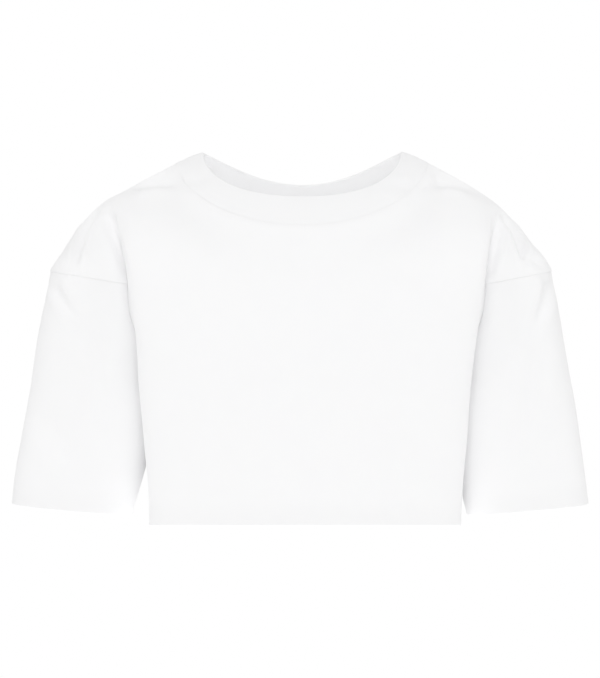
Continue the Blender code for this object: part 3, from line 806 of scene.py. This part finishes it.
def wall(sheet):
    """The sheet as a closed wall with rolled edges, its outside on the sheet's points."""
    normals = sheet.normals(sheet.folded)
    edges = sheet.edges()
    outward = edge_directions(sheet.folded, normals, edges)
    thick = layers(sheet, np.array(sheet.points))
    roll = {corner: edge_roll(sheet.points[corner], thick[corner]) for corner in outward}
    outside = sheet.folded.copy()
    for corner, way in outward.items():
        outside[corner] -= way * roll[corner]
    inside = outside - normals * thick[:, None]
    places = [outside, inside]
    count = len(outside)
    lips = {}
    number = 2 * count
    for corner, way in outward.items():
        ring = [corner]
        for step in range(1, LIP_STEPS):
            turn = math.pi * step / LIP_STEPS
            sunk = rolled_depth(turn, roll[corner], thick[corner])
            places.append([outside[corner] - normals[corner] * sunk + way * roll[corner] * math.sin(turn)])
            ring.append(number)
            number += 1
        ring.append(corner + count)
        lips[corner] = ring
    faces = list(sheet.faces)
    flat = list(sheet.flat)
    faces += [[corner + count for corner in face[::-1]] for face in sheet.faces]
    flat += [ring[::-1] for ring in sheet.flat]
    seen = {}
    for face, ring in zip(sheet.faces, sheet.flat):
        seen.update(zip(zip(face, face[1:] + face[:1]), zip(ring, ring[1:] + ring[:1])))
    for a, b in edges:
        first, second = seen[a, b]
        for step in range(LIP_STEPS):
            faces.append([lips[b][step], lips[a][step], lips[a][step + 1], lips[b][step + 1]])
            flat.append([second, first, first, second])
    seams = open_edges(sheet, hem=False)
    corners = seams + [(a + count, b + count) for a, b in seams]
    return add_piece(sheet.name + "_cloth", np.concatenate(places), faces, flat, corners)


def add_object(name, data):
    """An object in the scene."""
    added = bpy.data.objects.new(name, data)
    bpy.context.scene.collection.objects.link(added)
    return added


def add_piece(name, points, faces, flat, corners):
    """An object shaded smooth but for its corners. Its UV map is its place on the flat cloth, in metres."""
    mesh = bpy.data.meshes.new(name)
    mesh.from_pydata([tuple(point) for point in points], [], faces)
    places = mesh.uv_layers.new(name="flat_cloth")
    places.data.foreach_set("uv", np.array([value for ring in flat for place in ring for value in place]))
    mesh.validate()
    mesh.shade_smooth()
    sharp = {frozenset((int(a), int(b))) for a, b in corners}
    for edge in mesh.edges:
        edge.use_edge_sharp = frozenset(edge.vertices) in sharp
    return add_object(name, mesh)


cloth = {sheet.name: wall(sheet) for sheet in sheets}
for name, piece in cloth.items():
    print(piece.name, len(piece.data.polygons), "faces")

# %% [markdown]
# ## The neckband
#
# The band is one strip of jersey, folded along its length and sewn in by both cut edges, a little shorter
# than the neck, so that it stands up and curves in. It is a ribbon between two closed lines, the seam and
# the neck's edge, and its section is a flat loop: up the outside over a slight crown, round the fold, back
# down the inside, and square across at the seam.

# %% Rings of the neckband
BAND_COLUMNS = 64       # of a quarter of the ring
BAND_ROWS = 14          # from the seam up to the fold
FOLD_TURNS = 12         # round the fold


def closed_ring(level):
    """All four quarters of a neck line, one after the other, seen from above."""
    angles = np.linspace(0, math.pi / 2, SAMPLES)
    shares = np.linspace(0, 1, BAND_COLUMNS + 1)
    quarter = {(face, side): along(neck_ring(level, side, face, angles), shares)
               for face in FACES for side in SIDES}
    return np.concatenate([quarter["front", "right"][:-1], quarter["back", "right"][:0:-1],
                           quarter["back", "left"][:-1], quarter["front", "left"][:0:-1]])


def band_profile():
    """The loop of the band's section: share of the height, and how far up and out from there."""
    radius = BAND_CLOTH / 2
    shares = np.linspace(0, 1, BAND_ROWS + 1)
    turns = [math.pi * step / FOLD_TURNS for step in range(1, FOLD_TURNS)]
    loop = [(share, 0.0, 0.0) for share in shares]
    loop += [(1.0, radius * math.sin(turn), radius * (math.cos(turn) - 1)) for turn in turns]
    loop += [(share, 0.0, -BAND_CLOTH) for share in shares[::-1]]
    return loop


# %% Make the neckband

def neckband():
    seam, edge = closed_ring(0), closed_ring(1)
    tangent = unit(np.roll(seam, -1, axis=0) - np.roll(seam, 1, axis=0))
    width = np.linalg.norm(edge - seam, axis=1, keepdims=True)
    rise = (edge - seam) / width
    outward = unit(np.cross(tangent, rise))
    lines = []
    for share, up, out in band_profile():
        height = share * (width - BAND_CLOTH / 2) + up
        raised = SWELL * np.exp(-(height / ALLOWANCE) ** 4) if out == 0 else 0.0
        out = out + BAND_CROWN * math.sin(math.pi * share) + raised
        lines.append(seam + rise * height + outward * out)
    lines = np.array(lines)
    shift = [fold_shift(line, outward) + slack(seam) for line in lines]
    lines = lines - outward * np.array(shift)[:, :, None]
    around = np.concatenate(([0.0], np.linalg.norm(np.diff(seam, axis=0), axis=1).cumsum()))
    around = np.append(around, around[-1] + np.linalg.norm(seam[0] - seam[-1]))
    turned = np.linalg.norm(np.diff(lines, axis=0), axis=2).mean(axis=1).cumsum()
    turned = np.append(np.concatenate(([0.0], turned)), turned[-1] + 0.001)
    faces, flat = [], []
    rows, count = len(lines), len(seam)
    for row in range(rows):
        for step in range(count):
            here, there, after = row * count, (row + 1) % rows * count, (step + 1) % count
            faces.append([here + step, here + after, there + after, there + step])
            left, right, low, high = around[step], around[step + 1], turned[row], turned[row + 1]
            flat.append([(left, low), (right, low), (right, high), (left, high)])
    corners = [(row * count + step, row * count + (step + 1) % count)
               for row in (0, rows - 1) for step in range(count)]
    return add_piece("neckband_cloth", lines.reshape(-1, 3), faces, flat, corners)


cloth["neckband"] = neckband()
print("neckband:", len(cloth["neckband"].data.polygons), "faces")

# %% [markdown]
# ## Jersey
#
# Close up, jersey is columns of small V-shaped loops. At arm's length they only break up the light: the
# cloth is matt, with a little fuzz that brightens at grazing angles. The loops are worked out from the flat
# cloth's own coordinates, so they run down every piece as the knit does, and only tilt the surface as bump,
# because half a million real loops would add nothing at this size.

# %% A helper to lay out nodes

class Nodes:
    """Short calls for the nodes of a tree: each takes values or other nodes' outputs."""

    def __init__(self, tree):
        self.tree = tree

    def put(self, node, inputs):
        for name, value in inputs.items():
            if isinstance(value, bpy.types.NodeSocket):
                self.tree.links.new(value, node.inputs[name])
            else:
                node.inputs[name].default_value = value

    def node(self, kind, inputs=(), **settings):
        node = self.tree.nodes.new(kind)
        for name, value in settings.items():
            setattr(node, name, value)
        self.put(node, dict(inputs))
        return node

    def math(self, operation, *values):
        return self.node("ShaderNodeMath", dict(enumerate(values)), operation=operation).outputs[0]

    def bump(self, height, distance, strength, **more):
        """A normal tilted by a height, for the Normal of a shader or of another bump."""
        inputs = {"Height": height, "Distance": distance, "Strength": strength, **more}
        return self.node("ShaderNodeBump", inputs).outputs[0]

    def mix(self, share, first, second):
        """A colour between two colours."""
        inputs = {0: share, 6: (*first, 1.0), 7: (*second, 1.0)}
        return self.node("ShaderNodeMix", inputs, data_type="RGBA").outputs[2]


def new_material(name):
    """A material, and short calls for its nodes."""
    material = bpy.data.materials.new(name)
    material.use_nodes = True
    return material, Nodes(material.node_tree)


def shade(nodes, inputs):
    """Gives a new material's one shader these inputs."""
    nodes.put(nodes.tree.nodes["Principled BSDF"], inputs)


# %% The knit's relief
WALE = 0.0011           # width of a column of loops
COURSE = 0.0008         # height of a row of loops
LOOP_SLANT = 1.4        # how many rows a leg of a loop would climb across a whole column


def knit_height(nodes, wale, course):
    """Height of V-shaped loops on the flat cloth: 0 between the columns, 1 on the legs of the loops."""
    flat = nodes.node("ShaderNodeUVMap", uv_map="flat_cloth").outputs[0]
    place = nodes.node("ShaderNodeSeparateXYZ", {0: flat})
    across = nodes.math("DIVIDE", place.outputs[0], wale)
    down = nodes.math("DIVIDE", place.outputs[1], course)
    leg = nodes.math("PINGPONG", across, 0.5)
    row = nodes.math("ADD", down, nodes.math("MULTIPLY", leg, LOOP_SLANT))
    ridge = nodes.math("ABSOLUTE", nodes.math("SINE", nodes.math("MULTIPLY", row, math.pi)))
    column = nodes.math("SINE", nodes.math("MULTIPLY", leg, 2 * math.pi))
    return nodes.math("MULTIPLY", ridge, nodes.math("ABSOLUTE", column))


def noise(nodes, scale, detail, roughness=0.5):
    """Cloudy variation at a place on the garment itself; scale is in cycles for a metre."""
    place = nodes.node("ShaderNodeTexCoord").outputs["Object"]
    inputs = {"Vector": place, "Scale": scale, "Detail": detail, "Roughness": roughness}
    return nodes.node("ShaderNodeTexNoise", inputs, noise_dimensions="3D").outputs[0]


# %% The jersey and the band
WHITE = (0.930, 0.930, 0.940)
DEEPER = 0.975          # the darkest cloudy patches, as a share of the white
SHEER = 0.5             # share of the light that goes into the cloth and some way through it
LIGHT_PATH = 0.0010     # how far it gets
FUZZ = 0.35             # how much the cloth brightens at grazing angles
RIB_GAUGE = 1.3         # width of the rib's columns over the jersey's


def jersey(name, wale, knit_depth):
    """White cotton jersey with columns of this width and loops of this depth."""
    material, nodes = new_material(name)
    rough = nodes.node("ShaderNodeMapRange", {0: noise(nodes, 260.0, 2.0), 3: 0.86, 4: 0.97})
    slub = nodes.bump(noise(nodes, 420.0, 4.0, 0.6), 0.0004, 0.25)
    shade(nodes, {
        "Base Color": nodes.mix(noise(nodes, 45.0, 3.0), WHITE, [value * DEEPER for value in WHITE]),
        "Metallic": 0.0,
        "Roughness": rough.outputs[0],
        "Specular IOR Level": 0.25,
        "Subsurface Weight": SHEER,
        "Subsurface Radius": (1.0, 1.0, 1.0),
        "Subsurface Scale": LIGHT_PATH,
        "Sheen Weight": FUZZ,
        "Sheen Roughness": 0.6,
        "Normal": nodes.bump(knit_height(nodes, wale, COURSE), knit_depth, 0.5, Normal=slub)})
    return material


body_jersey = jersey("white_jersey", WALE, 0.00012)
band_jersey = jersey("white_band_rib", WALE * RIB_GAUGE, 0.00018)
for name, piece in cloth.items():
    piece.data.materials.append(band_jersey if name == "neckband" else body_jersey)
print("materials:", body_jersey.name, band_jersey.name)

# %% [markdown]
# ## Sewing
#
# The seams are overlocked: the two raw edges lie on one piece, and a thread runs over them in small arches,
# side by side. The hem and the cuffs are turned up once and caught from inside, so that nothing shows on the
# face. All of it is inside the shirt. One arch of thread is modelled, and Geometry Nodes set it along a line
# at an even pitch: turned along the line, and standing on the cloth.

# %% One stitch
THREAD = 0.00018        # radius of the thread
THREAD_SIDES = 5
STITCHES = {"overlock": (0.0023, 0.0050), "blind": (0.0036, 0.0024)}    # pitch and height of each


def stitch_mesh(name, pitch, height):
    """An arch of thread: across the edges and back, half a pitch either way, and raised in the middle."""
    line = np.array([(-0.5 * pitch, -0.5 * height, 0.0), (-0.2 * pitch, 0.1 * height, 1.4 * THREAD),
                     (0.0, 0.5 * height, 0.4 * THREAD), (0.2 * pitch, 0.1 * height, 1.4 * THREAD),
                     (0.5 * pitch, -0.5 * height, 0.0)])
    along_line = unit(np.gradient(line, axis=0))
    side = unit(np.cross(along_line, np.array([[0.0, 0.0, 1.0]])))
    over = np.cross(side, along_line)
    places, faces = [], []
    for step, place in enumerate(line):
        for turn in turns_round(THREAD_SIDES):
            places.append(place + THREAD * (side[step] * math.cos(turn) + over[step] * math.sin(turn)))
    for step in range(len(line) - 1):
        for corner in range(THREAD_SIDES):
            here, after = step * THREAD_SIDES + corner, step * THREAD_SIDES + (corner + 1) % THREAD_SIDES
            faces.append([after, here, here + THREAD_SIDES, after + THREAD_SIDES])
    faces.append(list(range(THREAD_SIDES)))
    faces.append([len(places) - 1 - corner for corner in range(THREAD_SIDES)])
    mesh = bpy.data.meshes.new(name)
    mesh.from_pydata([tuple(place) for place in places], [], faces)
    mesh.shade_smooth()
    return bpy.data.objects.new(name, mesh)


stitches = {name: stitch_mesh(name, *size) for name, size in STITCHES.items()}
print("faces of a stitch:", len(stitches["overlock"].data.polygons))

# %% Nodes that set stitches along a line

def stitching_tree():
    tree = bpy.data.node_groups.new("stitching", "GeometryNodeTree")
    sockets = (("Line", "NodeSocketGeometry"), ("Stitch", "NodeSocketObject"), ("Pitch", "NodeSocketFloat"),
               ("Thread", "NodeSocketMaterial"))
    for name, kind in sockets:
        tree.interface.new_socket(name=name, in_out="INPUT", socket_type=kind)
    tree.interface.new_socket(name="Stitches", in_out="OUTPUT", socket_type="NodeSocketGeometry")

    node = Nodes(tree).node
    given = node("NodeGroupInput").outputs
    curve = node("GeometryNodeMeshToCurve", {"Mesh": given["Line"]})
    places = node("GeometryNodeResampleCurve", {"Curve": curve.outputs[0], "Length": given["Pitch"]},
                  mode="LENGTH")
    stand = node("GeometryNodeInputNamedAttribute", {"Name": "stand"}, data_type="FLOAT_VECTOR")
    along_line = node("FunctionNodeAlignRotationToVector",
                      {"Vector": node("GeometryNodeInputTangent").outputs[0]}, axis="X")
    upright = node("FunctionNodeAlignRotationToVector",
                   {"Rotation": along_line.outputs[0], "Vector": stand.outputs[0]}, axis="Z", pivot_axis="X")
    stitch = node("GeometryNodeObjectInfo", {"Object": given["Stitch"], "As Instance": True})
    placed = node("GeometryNodeInstanceOnPoints",
                  {"Points": places.outputs[0], "Instance": stitch.outputs["Geometry"],
                   "Rotation": upright.outputs[0]})
    real = node("GeometryNodeRealizeInstances", {"Geometry": placed.outputs[0]})
    painted = node("GeometryNodeSetMaterial", {"Geometry": real.outputs[0], "Material": given["Thread"]})
    node("NodeGroupOutput", {"Stitches": painted.outputs[0]})
    return tree


stitching = stitching_tree()
print("nodes:", len(stitching.nodes))

# %% Lines on the inside of the cloth
FROM_INSIDE = 0.0055    # how far inside the cloth a line is looked for
FORWARD = np.array([0.0, -1.0, 0.0])    # the way to the turned edges from a sleeve's own seam


def inside_line(sheet, tree, line, reach):
    """Places on the inside of a sheet's wall, reach away from a line of its points, and how they stand."""
    normals = sheet.normals(sheet.folded)
    outward = edge_directions(sheet.folded, normals, sheet.edges())
    found = []
    for corner in line:
        way = -outward[corner] if corner in outward else FORWARD
        start = sheet.folded[corner] + way * reach - normals[corner] * FROM_INSIDE
        place, stand, _, _ = tree.ray_cast(Vector(start), Vector(normals[corner]), FROM_INSIDE)
        if place is not None and stand.dot(Vector(normals[corner])) < 0:
            found.append((place + stand * THREAD, stand))
    return found


def sew(name, sheet, lines, reach, kind):
    """Stitches along lines on the inside of a sheet, as one plain mesh."""
    tree = BVHTree.FromObject(cloth[sheet.name], bpy.context.evaluated_depsgraph_get())
    places, stands, steps_between = [], [], []
    for line in lines:
        found = inside_line(sheet, tree, line, reach)
        first = len(places)
        places += [place for place, stand in found]
        stands += [stand for place, stand in found]
        steps_between += [(k, k + 1) for k in range(first, len(places) - 1)]
    mesh = bpy.data.meshes.new(name + "_line")
    mesh.from_pydata(places, steps_between, [])
    mesh.attributes.new("stand", "FLOAT_VECTOR", "POINT").data.foreach_set("vector", np.ravel(stands))
    path = add_object(name + "_line", mesh)
    modifier = path.modifiers.new("stitching", "NODES")
    modifier.node_group = stitching
    values = {"Stitch": stitches[kind], "Pitch": STITCHES[kind][0], "Thread": thread}
    for item in stitching.interface.items_tree:
        if item.in_out == "INPUT" and item.name in values:
            modifier[item.identifier] = values[item.name]
    graph = bpy.context.evaluated_depsgraph_get()
    sewn = add_object(name, bpy.data.meshes.new_from_object(path.evaluated_get(graph)))
    sewn.data.name = name
    bpy.data.objects.remove(path)
    return sewn


# %% Sew the shirt
def cotton_thread():
    material, nodes = new_material("white_thread")
    shade(nodes, {
        "Base Color": (0.95, 0.95, 0.95, 1.0),
        "Roughness": 0.55,
        "Sheen Weight": 0.2,
        "Normal": nodes.bump(noise(nodes, 2500.0, 2.0), 0.00005, 0.4)})
    return material


thread = cotton_thread()
sewing = {}
for sheet in sheets:
    seams = sew(sheet.name + "_overlock", sheet, seam_lines(sheet), ALLOWANCE / 2, "overlock")
    hems = chains(open_edges(sheet, hem=True))
    turned_up = sew(sheet.name + "_hem_stitches", sheet, hems, TURNING, "blind")
    sewing[sheet.name] = [seams, turned_up]
    print(sheet.name, [(piece.name, len(piece.data.polygons)) for piece in sewing[sheet.name]])
for stitch in stitches.values():
    bpy.data.objects.remove(stitch)

# %% [markdown]
# ## What each piece is
#
# Each piece of cloth rides on the garment's one body and stands for the plain solid of the same name,
# which is hidden. The sewing on it rides on the same body.


for name, piece in cloth.items():
    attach(piece, "root")
    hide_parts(name)
    for sewn in sewing.get(name, []):
        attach(sewn, "root")

# %% [markdown]
# ## Floor, light and camera
#
# White cloth on white needs light from nearly everywhere, or it goes grey. A soft box behind the camera
# lights the front, one higher up the shoulders, and weaker ones at either hand leave the sides a shade
# darker, so that the shirt looks round. A pale world fills the rest. Small lamps below the hem and the cuffs
# shine up into the hollow shirt, as a pale floor does in a studio, and keep the inside of the neck bright.
# The floor is pale and well below, because the shirt hangs free. The picture is printed softly, with its
# greys lifted, because the cloth is only a shade darker than the ground behind it.

# %% Floor
FLOOR_DROP = 1.0
FLOOR_RADIUS = 2.2
FLOOR_SIDES = 64


def paper():
    material, nodes = new_material("pale_floor")
    shade(nodes, {
        "Base Color": nodes.mix(noise(nodes, 3.0, 2.0), (0.95, 0.95, 0.95), (0.93, 0.93, 0.93)),
        "Roughness": 0.9,
        "Emission Color": (1.0, 1.0, 1.0, 1.0),
        "Emission Strength": 0.05})
    return material


rim = [(FLOOR_RADIUS * math.cos(turn), FLOOR_RADIUS * math.sin(turn), -FLOOR_DROP)
       for turn in turns_round(FLOOR_SIDES)]
disc = bpy.data.meshes.new("floor")
disc.from_pydata(rim, [], [list(range(FLOOR_SIDES))])
disc.materials.append(paper())
floor = add_object("floor", disc)
print("floor:", FLOOR_DROP, "m below the neck")

# %% Light
LAMPS = [
    # name,          place,              size, watts
    ("front_light",  (0.0, -3.6, 0.2),   1.6,  32.5),
    ("top_light",    (0.0, -1.8, 3.0),   1.6,  23.0),
    ("left_light",   (-3.1, -0.4, 0.2),  1.6,  12.0),
    ("right_light",  (3.1, -0.4, 0.2),   1.6,  12.0),
    ("under_body",   (0.0, 0.02, -0.80), 0.3,   1.15),
    ("under_left",   (-0.24, 0.0, -0.80), 0.12, 0.25),
    ("under_right",  (0.24, 0.0, -0.80), 0.12,  0.25),
]
MIDDLE = Vector((0.0, 0.0, -0.19))
FILL = 0.56             # light from all round, as a share of a full white
PRINT_GAMMA = 1.6       # a soft high-key print

for name, place, size, watts in LAMPS:
    lamp = bpy.data.lights.new(name, "AREA")
    lamp.shape = "SQUARE"
    lamp.size = size
    lamp.energy = watts
    box = add_object(name, lamp)
    box.location = place
    aim = Vector((place[0], place[1], 0.0)) if name.startswith("under") else MIDDLE
    box.rotation_euler = (aim - Vector(place)).to_track_quat("-Z", "Y").to_euler()
    box.visible_camera = False

world = bpy.data.worlds.new("studio")
bpy.context.scene.world = world
world.use_nodes = True
nodes = Nodes(world.node_tree)
seen = nodes.node("ShaderNodeLightPath")
level = nodes.node("ShaderNodeMapRange",
                   {"Value": seen.outputs["Is Camera Ray"], "To Min": FILL, "To Max": 1.0})
nodes.put(world.node_tree.nodes["Background"],
          {"Color": (1.0, 1.0, 1.0, 1.0), "Strength": level.outputs["Result"]})
bpy.context.scene.view_settings.view_transform = "Standard"
bpy.context.scene.view_settings.gamma = PRINT_GAMMA
print("lamps:", len(LAMPS))

# %% Camera
DISTANCE = 3.2          # from the shoulder seams
FRAME_WIDTH = 0.624     # what the view is wide at that distance
EYE = Vector((-0.0021, -DISTANCE, -0.1945))
SENSOR = 36.0

camera = add_object("camera", bpy.data.cameras.new("camera"))
camera.location = EYE
camera.rotation_euler = (math.radians(90), 0, 0)
camera.data.sensor_fit = "HORIZONTAL"
camera.data.sensor_width = SENSOR
camera.data.lens = SENSOR * DISTANCE / FRAME_WIDTH
bpy.context.scene.camera = camera
print("lens:", round(camera.data.lens), "mm")
